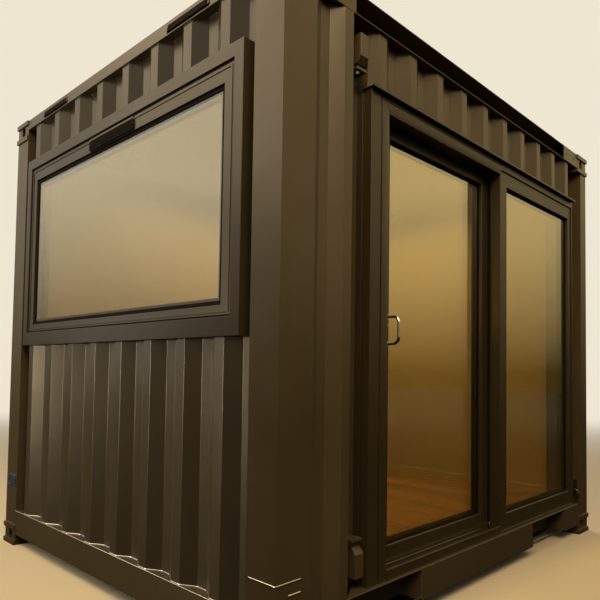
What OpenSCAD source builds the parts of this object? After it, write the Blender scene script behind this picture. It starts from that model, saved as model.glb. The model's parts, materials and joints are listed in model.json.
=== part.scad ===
// Shipping container cabin: a 10 ft steel container fitted out as a small room, with a
// two leaf sliding glass door in the front long side and a wide window in the left end.
// Millimetres, Z up. X runs along the long sides, the door is at -Y, the window at -X.

/* [Container] */
// Length over the corner castings
container_length = 2991; // [2438:1:6058]
// Width over the corner castings
container_width = 2438; // [2200:1:2500]
// Height over the corner castings
container_height = 2591; // [2438:1:2896]

/* [Corner castings] */
// Casting size along the length
casting_length = 178; // [150:1:200]
// Casting size across the width
casting_width = 162; // [140:1:180]
// Casting height
casting_height = 118; // [100:1:130]
// Wall of the casting body
casting_wall = 14; // [8:1:24]
// Thickness of the top and bottom plates of a casting
casting_plate = 26; // [12:1:32]
// How far those plates stand out beyond the casting body and the posts
casting_lip = 8; // [3:1:14]
// Long way of the slot in the top and bottom plates
aperture_length = 124; // [110:1:130]
// Narrow way of that slot
aperture_width = 63.5; // [58:0.5:68]
// Slot centre from the end of the container
aperture_end = 102; // [95:0.5:105]
// Slot centre from the side of the container
aperture_side = 89.5; // [85:0.5:95]
// Height of the upright slots in the two outer faces
side_slot_height = 79.5; // [60:0.5:85]
// Width of the upright slots
side_slot_width = 51; // [40:0.5:55]

/* [Posts and rails] */
// Thickness of the folded posts
post_sheet = 6; // [3:0.5:10]
// Narrow post flange on the right of the door side
post_flange_right = 98; // [80:1:170]
// Depth of the returns of a post
post_return = 62; // [30:1:90]
// Thickness of the rails
rail_sheet = 4; // [3:0.5:8]
// Height of the upper rails of the ends and the back
top_rail_height = 60; // [50:1:100]
// Depth of the upper rails of the ends and the back
top_rail_depth = 72; // [60:1:90]
// Height of the channel over the door
header_height = 94; // [70:1:140]
// Depth of that channel
header_depth = 92; // [60:1:120]
// Underside of the lower rails
bottom_rail_low = 62; // [12:1:90]
// Top of the lower rails
bottom_rail_top = 205; // [160:1:240]
// Depth of the lower rails
bottom_rail_depth = 72; // [60:1:110]
// Length of the flush gusset plates of the door side, from the ends
gusset_reach = 404; // [250:1:450]
// First hole of a gusset plate from its end
gusset_hole_from = 46; // [20:1:80]
// Spacing of the two holes
gusset_hole_step = 122; // [60:1:150]
// Width of the two open pockets in the lower rail of the door side
pocket_width = 492; // [300:1:600]
// Depth of those pockets
pocket_depth = 120; // [80:1:160]

/* [Corrugated walls] */
// Thickness of the steel wall sheets
wall_sheet = 3; // [1.6:0.1:5]
// Wave of the end and back walls
end_pitch = 256; // [200:1:300]
// Depth of that wave
end_depth = 40; // [25:1:50]
// Outer flat of that wave
end_crest = 58; // [30:1:120]
// Inner flat of that wave
end_trough = 62; // [30:1:120]
// Wave of the door side
side_pitch = 228.5; // [180:0.5:300]
// Depth of that wave
side_depth = 36; // [20:1:50]
// Outer flat of that wave
side_crest = 50; // [30:1:120]
// Inner flat of that wave
side_trough = 56; // [30:1:120]
// Crests of the walls back from the rail faces
crest_inset = 8; // [2:1:30]
// Roof sheet thickness
roof_sheet = 3; // [1.6:0.1:5]
// Number of waves of the roof
roof_waves = 13; // [8:1:18]
// Outer flat of a roof wave
roof_crest = 90; // [50:1:120]
// Inner flat of a roof wave
roof_trough = 62; // [40:1:100]
// Depth of that wave
roof_depth = 20; // [10:1:30]

/* [Lining and floor] */
// Lining board thickness
board = 16; // [9:1:25]
// Face of the lining from the outside of the wall
lining_depth = 130; // [90:1:180]
// Underside of the ceiling below the top of the container
ceiling_drop = 151; // [110:1:300]
// Floor deck thickness
deck_thickness = 28; // [18:1:40]
// Top of the floor
floor_top = 216; // [190:1:240]
// Spacing of the floor cross members
cross_pitch = 262; // [200:1:290]
// Width of the flanges of a cross member
cross_flange = 45; // [30:1:60]

/* [Window] */
// Window surround from the door side corner of the left end
window_start = 216; // [180:1:400]
// Surround from the back corner
window_far = 202; // [180:1:400]
// Underside of the surround
window_low = 1198; // [900:1:1400]
// Top of the surround below the top of the container
window_drop = 274; // [150:1:500]
// Face width of the surround at the sides
surround_side = 54; // [40:1:90]
// Face width of the surround at the top
surround_top = 59; // [40:1:90]
// Face width of the surround at the bottom
surround_bottom = 76; // [40:1:110]
// Face width of the sash at the sides
sash_side = 66; // [50:1:90]
// Face width of the sash at the top
sash_top = 77; // [50:1:100]
// Face width of the sash at the bottom
sash_bottom = 46; // [36:1:90]
// Length of the pull in the top of the sash
sash_pull = 440; // [200:1:600]

/* [Sliding door] */
// Left edge of the door frame from the left end
door_start = 530; // [480:1:700]
// Right edge of the door frame from the right end
door_far = 219; // [190:1:500]
// Height of the corrugated strip over the door
strip_height = 247; // [150:1:400]
// Face of the door frame back from the outside
door_inset = 24; // [10:1:60]
// Depth of the door frame
door_depth = 160; // [120:1:200]
// Outer flange of the left jamb
jamb_flange = 66; // [50:1:100]
// Left jamb from its outer edge to its inner edge
jamb_face = 134; // [110:1:160]
// Right jamb beside the fixed leaf
jamb_slim = 12; // [8:1:40]
// Bevel along the inner edge of the left jamb and the head
bevel_face = 26; // [10:1:40]
// Depth of that bevel
bevel_depth = 6; // [3:1:14]
// Height of the head over the sliding leaf
head_face = 70; // [56:1:100]
// Height of the head over the fixed leaf
head_slim = 45; // [30:1:60]
// Thickness of the sill under the tracks
sill_plate = 14; // [10:1:30]
// Height of the nose along the front of the sill
nose_height = 29; // [10:1:40]
// Width of the left stile of the sliding leaf
stile = 92; // [70:1:110]
// Width of its right stile
stile_right = 90; // [70:1:110]
// Height of its bottom rail
leaf_bottom = 76; // [60:1:120]
// Height of its top rail
leaf_top = 62; // [50:1:120]
// Width of the left stile of the fixed leaf
fixed_stile = 80; // [60:1:110]
// Width of its right stile
fixed_stile_right = 48; // [30:1:110]
// Height of its bottom rail
fixed_bottom = 82; // [60:1:120]
// Height of its top rail
fixed_top = 80; // [60:1:120]
// Thickness of a leaf
leaf_thickness = 60; // [52:1:64]
// Thickness of the sealed glass units
glass_thickness = 24; // [16:1:30]
// Glass back from the face of a leaf
glass_inset = 22; // [8:1:22]
// Left edge of the fixed leaf to the right of the middle of the door
meeting_shift = 61; // [0:1:90]
// Sliding leaf past the left edge of the fixed leaf
leaf_overlap = 28; // [10:1:60]
// Space left between the open leaf and the right jamb
open_margin = 66; // [30:1:200]
// Running clearance around the sliding leaf
run_gap = 6; // [5:0.5:12]
// Height of the rail that the leaf runs on
track_ridge = 6; // [4:0.5:10]
// Height of the bright rail in front of the sliding leaf
track_front = 17; // [10:1:24]

/* [Door pull] */
// Distance between the two arms
pull_height = 120; // [90:1:300]
// Stand-off of the grip from the leaf
pull_reach = 64; // [40:1:70]
// Bar diameter
pull_bar = 14; // [10:0.5:20]
// Height of the pull centre
pull_centre = 1258; // [950:1:1400]

/* [Hidden] */
$fn = 24;
half_length = container_length / 2;
half_width = container_width / 2;
left_end = -half_length;
right_end = half_length;
front_side = -half_width;
back_side = half_width;
upper_casting = container_height - casting_height;
top_rail_low = container_height - top_rail_height;
header_low = container_height - header_height;
crest_depth = casting_lip + crest_inset;
post_flange_end = casting_width - casting_lip;
post_flange_long = casting_length - casting_lip;
deck_low = floor_top - deck_thickness;
ceiling_height = container_height - ceiling_drop;
lining_back = lining_depth - board;
front_face = door_inset + door_depth;
window_end = container_width - window_far;
window_high = container_height - window_drop;
door_end = container_length - door_far;
door_top = header_low - strip_height;
sash_back = 74;
sash_face = 8;
glass_face = 20;
sash_glass = 28;
track_gap = 18;
track_wall = 8;
track_base = 2;
seat_gap = 0.3;
jamb_inner = 20;
fixed_setback = 8;
fixed_face = door_inset + fixed_setback;
fixed_start = (door_start + door_end) / 2 + meeting_shift;
fixed_end = door_end - jamb_slim;
slide_face = fixed_face + leaf_thickness + track_gap;
slide_back = slide_face + leaf_thickness + run_gap;
channel_front = slide_face - run_gap - track_wall;
head_web = 10;
channel_high = door_top - head_slim - head_web;
track_top = bottom_rail_top + sill_plate;
ridge_top = track_top + track_ridge;
leaf_low = ridge_top + run_gap;
leaf_high = channel_high - run_gap;
slide_start = door_start + jamb_face + jamb_inner + run_gap;
slide_end = fixed_start + leaf_overlap;
jamb_rear = 54;
track_end = fixed_end - jamb_rear;
door_travel = track_end - open_margin - slide_end;
rail_plate = rail_sheet + 2;
cut_over = 1;
tiny = 0.01;

steel_paint = [0.32, 0.28, 0.21];
frame_paint = [0.24, 0.21, 0.17];
glass_tint = [0.62, 0.66, 0.62, 0.45];
timber = [0.50, 0.34, 0.20];
board_white = [0.80, 0.76, 0.68];
stainless = [0.75, 0.75, 0.74];
bright_metal = [0.66, 0.64, 0.60];
plug_blue = [0.16, 0.30, 0.44];

// A block between two corners.
module block(x0, x1, y0, y1, z0, z1) {
  translate([x0, y0, z0]) cube([x1 - x0, y1 - y0, z1 - z0]);
}

// Door side: s from the left end, d back from the outside, z up.
module front_block(s0, s1, d0, d1, z0, z1) {
  block(left_end + s0, left_end + s1, front_side + d0, front_side + d1, z0, z1);
}

// Left end: s from the door side corner, d back from the outside, z up.
module left_block(s0, s1, d0, d1, z0, z1) {
  block(left_end + d0, left_end + d1, front_side + s0, front_side + s1, z0, z1);
}

// Places a corner drawn at the origin with x and y running inwards.
module at_corner(side_x, side_y) {
  translate([side_x * half_length, side_y * half_width, 0])
    mirror([side_x > 0 ? 1 : 0, 0, 0]) mirror([0, side_y > 0 ? 1 : 0, 0]) children();
}

// A stadium shaped cutter along z: length lies on x.
module slot_cutter(length, width, depth) {
  straight = length - width;
  translate([-straight / 2, -width / 2, 0]) cube([straight, width, depth]);
  translate([-straight / 2, 0, 0]) cylinder(h = depth, d = width);
  translate([straight / 2, 0, 0]) cylinder(h = depth, d = width);
}

// Casting with its outer plate down, corner at the origin.
module casting() {
  body_x = casting_length - casting_lip;
  difference() {
    union() {
      cube([casting_length, casting_width, casting_plate]);
      translate([casting_lip, casting_lip, casting_plate])
        cube([body_x, casting_width - casting_lip, casting_height - 2 * casting_plate]);
      translate([0, 0, casting_height - casting_plate])
        cube([casting_length, casting_width, casting_plate]);
    }
    translate([casting_lip + casting_wall, casting_lip + casting_wall, casting_plate])
      cube([casting_length - casting_lip - 2 * casting_wall,
            casting_width - casting_lip - 2 * casting_wall,
            casting_height - 2 * casting_plate]);
    translate([aperture_end, aperture_side, -tiny])
      slot_cutter(aperture_length, aperture_width, casting_plate + 2 * tiny);
    translate([aperture_end, -tiny, casting_height / 2]) rotate([-90, 90, 0])
      slot_cutter(side_slot_height - 2 * casting_lip, side_slot_width,
                  casting_lip + casting_wall + 2 * tiny);
    translate([-tiny, aperture_side, casting_height / 2]) rotate([90, 90, 90])
      slot_cutter(side_slot_height - 2 * casting_lip, side_slot_width,
                  casting_lip + casting_wall + 2 * tiny);
  }
}

// Folded post between the castings.
module post_shaft(flange_side) {
  low = casting_height;
  tall = container_height - 2 * casting_height;
  far_x = casting_lip + flange_side;
  far_y = casting_lip + post_flange_end;
  translate([0, 0, low]) linear_extrude(height = tall) union() {
    translate([casting_lip, casting_lip]) square([flange_side, post_sheet]);
    translate([casting_lip, casting_lip]) square([post_sheet, post_flange_end]);
    translate([far_x - post_sheet, casting_lip]) square([post_sheet, post_return]);
    translate([casting_lip, far_y - post_sheet]) square([post_return, post_sheet]);
  }
}

module corner_post(flange_side) {
  casting();
  post_shaft(flange_side);
  translate([0, 0, container_height]) mirror([0, 0, 1]) casting();
}

module corner_post_front_left() {
  color(steel_paint) at_corner(-1, -1) corner_post(post_flange_long);
}

module corner_post_front_right() {
  color(steel_paint) at_corner(1, -1) corner_post(post_flange_right);
}

module corner_post_back_left() {
  color(steel_paint) at_corner(-1, 1) corner_post(post_flange_long);
}

module corner_post_back_right() {
  color(steel_paint) at_corner(1, 1) corner_post(post_flange_long);
}

// Channel over the door, open to the front, with flush gusset plates at its ends.
module top_rail_front() {
  face = casting_lip;
  run0 = casting_length;
  run1 = container_length - casting_length;
  hole = 14;
  first = container_length - gusset_reach + gusset_hole_from;
  color(steel_paint) difference() {
    union() {
      front_block(run0, run1, face, face + header_depth,
                  container_height - rail_sheet, container_height);
      front_block(run0, run1, face, face + header_depth, header_low, header_low + rail_sheet);
      front_block(run0, run1, face + header_depth - rail_sheet, face + header_depth,
                  header_low, container_height);
      front_block(run0, gusset_reach, face, face + post_sheet, header_low, container_height);
      front_block(container_length - gusset_reach, run1, face, face + post_sheet,
                  header_low, container_height);
    }
    for (s = [first, first + gusset_hole_step])
      translate([left_end + s, front_side + face - tiny, header_low + header_height / 2])
        rotate([-90, 0, 0]) cylinder(h = post_sheet + 2 * tiny, d = hole);
  }
}

// Upper rail of a straight side: a channel open to the inside, from the corner castings.
module top_channel(run) {
  translate([0, casting_lip, top_rail_low]) {
    cube([run, rail_sheet, top_rail_height]);
    cube([run, top_rail_depth, rail_sheet]);
    translate([0, 0, top_rail_height - rail_sheet]) cube([run, top_rail_depth, rail_sheet]);
  }
}

module top_rail_back() {
  run = container_length - 2 * casting_length;
  color(steel_paint) translate([left_end + casting_length, back_side, 0])
    mirror([0, 1, 0]) top_channel(run);
}

// Upper rail of the window end with its two hooded openings.
hood_length = 304;
hood_near = 446;
hood_far = 1738;
hood_high = 34;
hood_rise = 6;
hood_gap = 4;
hood_tilt = 10;
hood_flap = 32.3;
module top_rail_left() {
  run = container_width - 2 * casting_width;
  low = top_rail_low + hood_rise;
  color(steel_paint) {
    difference() {
      translate([left_end, front_side + casting_width + run, 0]) rotate([0, 0, -90])
        top_channel(run);
      for (s = [hood_near, hood_far])
        left_block(s, s + hood_length, casting_lip - cut_over,
                   casting_lip + rail_sheet + cut_over, low, low + hood_high);
    }
    for (s = [hood_near, hood_far])
      translate([left_end + casting_lip, front_side + s, low + hood_high + hood_gap])
        rotate([0, hood_tilt, 0]) translate([0, 0, -hood_flap])
          cube([rail_sheet / 2, hood_length, hood_flap]);
  }
}

module top_rail_right() {
  run = container_width - 2 * casting_width;
  color(steel_paint) translate([right_end, front_side + casting_width, 0])
    rotate([0, 0, 90]) top_channel(run);
}

// Lower rail of the door side with a pocket beside each corner.
pocket_margin = 10;
strap_rise = 14;
module bottom_rail_front() {
  face = casting_lip;
  run0 = casting_length;
  run1 = container_length - casting_length;
  pocket0 = gusset_reach + pocket_margin;
  pocket1 = pocket0 + pocket_width;
  back = face + pocket_depth;
  low = bottom_rail_low;
  top = bottom_rail_top;
  plate = rail_plate;
  strap = low + strap_rise;
  color(steel_paint) {
    for (s = [pocket0, container_length - pocket1])
      front_block(s, s + pocket_width, face, face + plate, strap, strap + plate);
    front_block(run0, run1, face, back, top - plate, top);
    front_block(run0, run1, back - plate, back, low, top - plate);
    for (s = [[run0, pocket0], [pocket1, container_length - pocket1],
              [container_length - pocket0, run1]]) {
      front_block(s[0], s[1], face, face + plate, low, top - plate);
      front_block(s[0], s[0] + plate, face + plate, back - plate, low, top - plate);
      front_block(s[1] - plate, s[1], face + plate, back - plate, low, top - plate);
    }
  }
}

// Lower rail of a straight side: a channel open to the inside.
module bottom_channel(run) {
  tall = bottom_rail_top - bottom_rail_low;
  translate([0, casting_lip, bottom_rail_low]) {
    cube([run, rail_plate, tall]);
    cube([run, bottom_rail_depth, rail_plate]);
    translate([0, 0, tall - rail_plate]) cube([run, bottom_rail_depth, rail_plate]);
  }
}

module bottom_rail_back() {
  run = container_length - 2 * casting_length;
  color(steel_paint) translate([left_end + casting_length, back_side, 0])
    mirror([0, 1, 0]) bottom_channel(run);
}

module bottom_rail_left() {
  run = container_width - 2 * casting_width;
  color(steel_paint) translate([left_end, front_side + casting_width + run, 0])
    rotate([0, 0, -90]) bottom_channel(run);
}

module bottom_rail_right() {
  run = container_width - 2 * casting_width;
  color(steel_paint) translate([right_end, front_side + casting_width, 0])
    rotate([0, 0, 90]) bottom_channel(run);
}

// Cross members under the floor, front rail to back rail.
module floor_frame() {
  front = front_side + casting_lip + pocket_depth;
  back = back_side - casting_lip - rail_plate;
  low = bottom_rail_low + rail_plate;
  top = deck_low;
  count = floor((container_length - 2 * casting_length) / cross_pitch);
  first = -cross_pitch * (count - 1) / 2;
  color(steel_paint) {
    for (i = [0 : count - 1]) {
      x = first + i * cross_pitch;
      block(x, x + rail_sheet, front, back, low, top);
      block(x + rail_sheet, x + cross_flange, front, back, top - rail_sheet, top);
      block(x + rail_sheet, x + cross_flange, front, back, low, low + rail_sheet);
    }
    for (y = [front, back - rail_sheet])
      block(first, first + (count - 1) * cross_pitch, y, y + rail_sheet, low, top);
  }
}

module floor_deck() {
  color(timber) block(left_end + lining_back, right_end - lining_back,
                      front_side + front_face, back_side - lining_back, deck_low, floor_top);
}

// Points of a trapezoid wave from 0 to run; phase is where an outer flat ends.
// A fold nearer to an end than end_flat is left out.
end_flat = 0.5;
function wave_points(run, pitch, depth, crest, trough, phase) =
  let (
    slope = (pitch - crest - trough) / 2,
    first = floor(-phase / pitch) - 1,
    last = ceil((run - phase) / pitch) + 1,
    raw = [for (k = [first : last]) let (e = phase + k * pitch)
      each [[e, 0], [e + slope, depth], [e + slope + trough, depth],
            [e + 2 * slope + trough, 0]]],
    at = function (u) wave_at(u, pitch, depth, crest, trough, phase)
  )
  concat([[0, at(0)]], [for (p = raw) if (p[0] > end_flat && p[0] < run - end_flat) p],
         [[run, at(run)]]);

function wave_at(u, pitch, depth, crest, trough, phase) =
  let (
    slope = (pitch - crest - trough) / 2,
    v = (u - phase) - pitch * floor((u - phase) / pitch)
  )
  v < slope ? depth * v / slope
  : v < slope + trough ? depth
  : v < 2 * slope + trough ? depth * (1 - (v - slope - trough) / slope)
  : 0;

// Corrugated sheet standing up: runs along x, waves along y, from z0 to z1.
module wave_sheet(run, z0, z1, pitch, depth, crest, trough, phase, sheet) {
  edge = wave_points(run, pitch, depth, crest, trough, phase);
  inner = [for (i = [len(edge) - 1 : -1 : 0]) [edge[i][0], edge[i][1] + sheet]];
  translate([0, 0, z0]) linear_extrude(height = z1 - z0) polygon(concat(edge, inner));
}

end_run = container_width - 2 * casting_width;
first_crest_edge = 377;
module end_wall_sheet() {
  phase = casting_width + end_run - (first_crest_edge - end_crest);
  wave_sheet(end_run, bottom_rail_top, top_rail_low, end_pitch, end_depth, end_crest,
             end_trough, phase, wall_sheet);
}

module end_wall_left() {
  color(steel_paint) difference() {
    translate([left_end + crest_depth, front_side + casting_width + end_run, 0])
      rotate([0, 0, -90]) end_wall_sheet();
    left_block(window_start, window_end, 0, lining_depth, window_low, window_high);
  }
}

module end_wall_right() {
  color(steel_paint) translate([right_end - crest_depth, front_side + casting_width, 0])
    rotate([0, 0, 90]) end_wall_sheet();
}

module back_wall() {
  run = container_length - 2 * casting_length;
  color(steel_paint) translate([left_end + casting_length + run, back_side - crest_depth, 0])
    rotate([0, 0, 180])
      wave_sheet(run, bottom_rail_top, top_rail_low, end_pitch, end_depth, end_crest,
                 end_trough, run / 2 + end_crest / 2, wall_sheet);
}

// One folded bay between the left post and the recess beside the door, with its lugs.
panel_edge = 391;
panel_trough = 50;
recess_depth = 96;
fold_shift = 2;
module front_panel_left() {
  start = casting_length;
  slope = (panel_edge - start - side_crest - panel_trough) / 2;
  base = casting_lip;
  sheet = wall_sheet;
  outline = [
    [start, base], [start + slope, base + side_depth],
    [start + slope + panel_trough, base + side_depth], [panel_edge - side_crest, base],
    [panel_edge, base], [panel_edge, base + recess_depth - sheet],
    [door_start, base + recess_depth - sheet], [door_start, base + recess_depth],
    [panel_edge - sheet, base + recess_depth], [panel_edge - sheet, base + sheet],
    [panel_edge - side_crest + fold_shift, base + sheet],
    [start + slope + panel_trough + fold_shift, base + side_depth + sheet],
    [start + slope - fold_shift, base + side_depth + sheet],
    [start, base + sheet + fold_shift / 2]
  ];
  color(steel_paint) {
    translate([left_end, front_side, bottom_rail_top])
      linear_extrude(height = header_low - bottom_rail_top) polygon(outline);
    hinge_lugs(panel_edge);
  }
}

// Hinge blocks and drilled lugs left from the steel doors: the upper pair hangs below
// the header as the lower pair stands over the rail, upside down.
block_shift = 72;
block_width = 52;
block_face = 95;
block_chamfer = [20, 28];
block_front = 30;
block_upper = 39;
block_lower = 49;
lug_gap = 26;
lug_plate = 10;
lug_shift = 50;
lug_width = 62;
lug_hole = 22;
module hinge_set(from) {
  back = casting_lip + recess_depth - wall_sheet;
  reach = back - block_front;
  plate_z = block_face + block_chamfer[1] + lug_gap;
  translate([left_end + from + block_shift, front_side + block_front, 0]) rotate([90, 0, 90])
    linear_extrude(height = block_width)
      polygon([[0, 0], [reach, 0], [reach, block_face + block_chamfer[1]],
               [block_chamfer[0], block_face + block_chamfer[1]], [0, block_face]]);
  difference() {
    front_block(from + lug_shift, from + lug_shift + lug_width, block_front, back,
                plate_z, plate_z + lug_plate);
    translate([left_end + from + lug_shift + lug_width / 2, front_side + block_front + lug_hole,
               plate_z - tiny])
      cylinder(h = lug_plate + 2 * tiny, d = lug_hole);
  }
}

module hinge_lugs(from) {
  translate([0, 0, bottom_rail_top + block_lower]) hinge_set(from);
  translate([0, 0, header_low - block_upper]) mirror([0, 0, 1]) hinge_set(from);
}

// Flat back of the recess between the door and the right post.
module front_panel_right() {
  finish = container_length - casting_lip - post_flange_right;
  castings = container_length - casting_length;
  back = casting_lip + recess_depth;
  sheet = wall_sheet;
  color(steel_paint) {
    front_block(door_end, finish, back - sheet, back, bottom_rail_top, upper_casting);
    front_block(door_end, castings, back - sheet, back, upper_casting - tiny, header_low);
    front_block(finish - sheet, finish, casting_lip + post_return, back - sheet + tiny,
                bottom_rail_top, upper_casting);
  }
}

// Corrugated strip over the door.
strip_inset = 20;
flashing_plate = 4;
strip_crest_edge = 627;
function strip_wave(s) =
  wave_at(s - door_start, side_pitch, side_depth, side_crest, side_trough,
          strip_crest_edge - door_start);

module front_panel_top() {
  run = door_end - door_start;
  back = casting_lip + recess_depth;
  low = door_top + flashing_plate;
  color(steel_paint) {
    translate([left_end + door_start, front_side + strip_inset, 0])
      wave_sheet(run, low, header_low, side_pitch, side_depth, side_crest,
                 side_trough, strip_crest_edge - door_start, wall_sheet);
    for (s = [door_start, door_end - wall_sheet])
      front_block(s, s + wall_sheet, strip_inset + strip_wave(s + wall_sheet / 2), back,
                  low, header_low);
  }
}

module lining_left() {
  color(board_white) difference() {
    left_block(front_face, container_width - lining_depth, lining_back, lining_depth,
               floor_top, ceiling_height);
    left_block(window_start, window_end, 0, lining_depth + cut_over, window_low, window_high);
  }
}

module lining_right() {
  color(board_white) block(right_end - lining_depth, right_end - lining_back,
    front_side + front_face, back_side - lining_depth, floor_top, ceiling_height);
}

module lining_back() {
  color(board_white) block(left_end + lining_back, right_end - lining_back,
    back_side - lining_depth, back_side - lining_back, floor_top, ceiling_height);
}

module lining_front_left() {
  color(board_white) front_block(lining_back, door_start, front_face - board, front_face,
    floor_top, ceiling_height);
}

module lining_front_right() {
  color(board_white) front_block(door_end, container_length - lining_back,
    front_face - board, front_face, floor_top, ceiling_height);
}

module lining_front_top() {
  color(board_white) front_block(door_start, door_end, front_face - board, front_face,
    door_top, ceiling_height);
}

module ceiling_lining() {
  color(board_white) block(left_end + lining_back, right_end - lining_back,
    front_side + front_face - board, back_side - lining_back,
    ceiling_height, ceiling_height + board);
}

// Roof sheet with shallow waves across the box.
module roof_panel() {
  lap = 20;
  x0 = left_end + casting_lip + top_rail_depth - lap;
  run = container_length - 2 * (casting_lip + top_rail_depth - lap);
  y0 = front_side + casting_lip + header_depth;
  y1 = back_side - casting_lip - top_rail_depth + lap;
  under = container_height - rail_sheet;
  pitch = (run - roof_crest) / roof_waves;
  color(steel_paint) difference() {
    translate([x0, y0, under]) rotate([-90, 0, 0])
      wave_sheet(run, 0, y1 - y0, pitch, roof_depth, roof_crest, roof_trough, roof_crest,
                 roof_sheet);
    for (x = [left_end, right_end - casting_length], y = [front_side, back_side - casting_width])
      block(x, x + casting_length, y, y + casting_width, upper_casting, container_height);
  }
}

// Window surround standing out from the corrugation.
module window_surround() {
  color(frame_paint) difference() {
    left_block(window_start, window_end, 0, lining_depth, window_low, window_high);
    left_block(window_start + surround_side, window_end - surround_side, -cut_over,
               lining_depth + cut_over, window_low + surround_bottom,
               window_high - surround_top);
  }
}

// Sash with a recessed pull along its top: a groove with a lip standing out under it.
sash_groove = [10, 40];
sash_groove_depth = 14;
sash_lip = 8;
sash_lip_face = 2;
module window_sash() {
  s0 = window_start + surround_side;
  s1 = window_end - surround_side;
  z0 = window_low + surround_bottom;
  z1 = window_high - surround_top;
  mid = (s0 + s1) / 2;
  color(frame_paint) {
    difference() {
      left_block(s0, s1, sash_face, sash_back, z0, z1);
      left_block(s0 + sash_side, s1 - sash_side, 0, sash_back + cut_over,
                 z0 + sash_bottom, z1 - sash_top);
      left_block(mid - sash_pull / 2, mid + sash_pull / 2, sash_face - cut_over,
                 sash_face + sash_groove_depth, z1 - sash_groove[1], z1 - sash_groove[0]);
    }
    left_block(mid - sash_pull / 2, mid + sash_pull / 2, sash_lip_face, sash_face,
               z1 - sash_groove[1] - sash_lip, z1 - sash_groove[1]);
  }
}

module window_glass() {
  s0 = window_start + surround_side + sash_side;
  s1 = window_end - surround_side - sash_side;
  z0 = window_low + surround_bottom + sash_bottom;
  z1 = window_high - surround_top - sash_top;
  color(glass_tint) left_block(s0, s1, glass_face, glass_face + sash_glass, z0, z1);
}

// A profile of the door side, drawn as depth and height, run from s0 to s1.
module front_profile(s0, s1, outline) {
  translate([left_end + s0, front_side, 0]) rotate([90, 0, 90])
    linear_extrude(height = s1 - s0) polygon(outline);
}

// An upright profile of the door side, drawn as s and depth, from z0 to z1.
module front_upright(z0, z1, outline) {
  translate([left_end, front_side, z0]) linear_extrude(height = z1 - z0) polygon(outline);
}

// Head of the door frame: a deep lip over the sliding leaf, a shallow one over the fixed
// leaf, and behind them the channel in which the sliding leaf runs.
groove = 4;
head_grooves = [12, 21];
module head_mitre(depth) {
  lip = door_top - head_face;
  inner = door_start + jamb_face;
  translate([left_end, front_side + depth, 0]) rotate([90, 0, 0])
    linear_extrude(height = depth)
      polygon([[inner, lip], [inner - head_face, door_top], [door_end, door_top],
               [door_end, lip]]);
}

module head_bar() {
  lip = door_top - head_face;
  slim = door_top - head_slim;
  intersection() {
    head_mitre(front_face);
    union() {
      front_profile(door_start, fixed_start, [
        [door_inset, door_top],
        for (down = head_grooves)
          each [[door_inset, door_top - down], [door_inset + groove, door_top - down - groove / 4],
                [door_inset, door_top - down - groove]],
        [door_inset, lip + bevel_face], [door_inset + bevel_depth, lip], [channel_front, lip],
        [channel_front, channel_high], [front_face, channel_high], [front_face, door_top]
      ]);
      front_profile(fixed_start, door_end, [
        [door_inset, door_top], [door_inset, slim], [fixed_face + leaf_thickness, slim],
        [fixed_face + leaf_thickness, channel_high], [front_face, channel_high],
        [front_face, door_top]
      ]);
    }
  }
}

// The outer side of the jamb has a groove from side_groove[0] to side_groove[1] behind its face.
side_groove = [38, 46];
module jamb_left_bar() {
  s = door_start;
  inner = s + jamb_face;
  flange = s + jamb_flange;
  rebate = 8;
  face = door_inset;
  front_upright(bottom_rail_top, door_top, [
    [s, face], [flange, face], [flange, face + rebate], [flange + rebate + groove, face + rebate],
    [flange + rebate + groove, face], [inner - bevel_face, face], [inner, face + bevel_depth],
    [inner, slide_face - run_gap], [inner + jamb_inner, slide_face - run_gap],
    [inner + jamb_inner, front_face], [s, front_face], [s, face + side_groove[1]],
    [s + rebate, face + side_groove[1]], [s + rebate, face + side_groove[0]],
    [s, face + side_groove[0]]
  ]);
}

module jamb_right_bar() {
  rear = fixed_face + leaf_thickness;
  front_upright(bottom_rail_top, door_top, [
    [fixed_end, door_inset], [door_end, door_inset], [door_end, front_face],
    [track_end, front_face], [track_end, rear], [fixed_end, rear]
  ]);
}

module door_head() {
  color(frame_paint) head_bar();
}

module door_jamb_left() {
  color(frame_paint) difference() {
    jamb_left_bar();
    head_mitre(channel_front);
    head_bar();
  }
}

module door_jamb_right() {
  color(frame_paint) difference() {
    jamb_right_bar();
    head_bar();
  }
}

module door_sill() {
  nose = 10;
  first = door_start + jamb_face;
  color(frame_paint) difference() {
    union() {
      front_block(first, fixed_end, door_inset, front_face, bottom_rail_top, track_top);
      front_block(first, fixed_start, door_inset, door_inset + nose,
                  track_top, track_top + nose_height);
      front_block(first, fixed_end, slide_back, front_face, track_top, ridge_top);
    }
    jamb_left_bar();
    jamb_right_bar();
  }
}

// Bright track on the sill: the rail in front of the leaf, the ridge under its runners and
// the stop at the end of its travel.
module door_track() {
  mid = slide_face + leaf_thickness / 2;
  stop = slide_end + door_travel + run_gap;
  stop_block = [18, 12, 34];
  front_rail = 6;
  first = door_start + jamb_face;
  color(bright_metal) difference() {
    union() {
      front_block(first, fixed_end, channel_front, slide_back, track_top,
                  track_top + track_base);
      front_block(first, fixed_end, channel_front, channel_front + front_rail,
                  track_top, track_top + track_front);
      front_block(first, fixed_end, mid - track_wall / 2, mid + track_wall / 2,
                  track_top, ridge_top);
      front_block(stop, stop + stop_block[0], mid - stop_block[1] / 2, mid + stop_block[1] / 2,
                  track_top, track_top + stop_block[2]);
    }
    jamb_left_bar();
    jamb_right_bar();
  }
}

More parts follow.
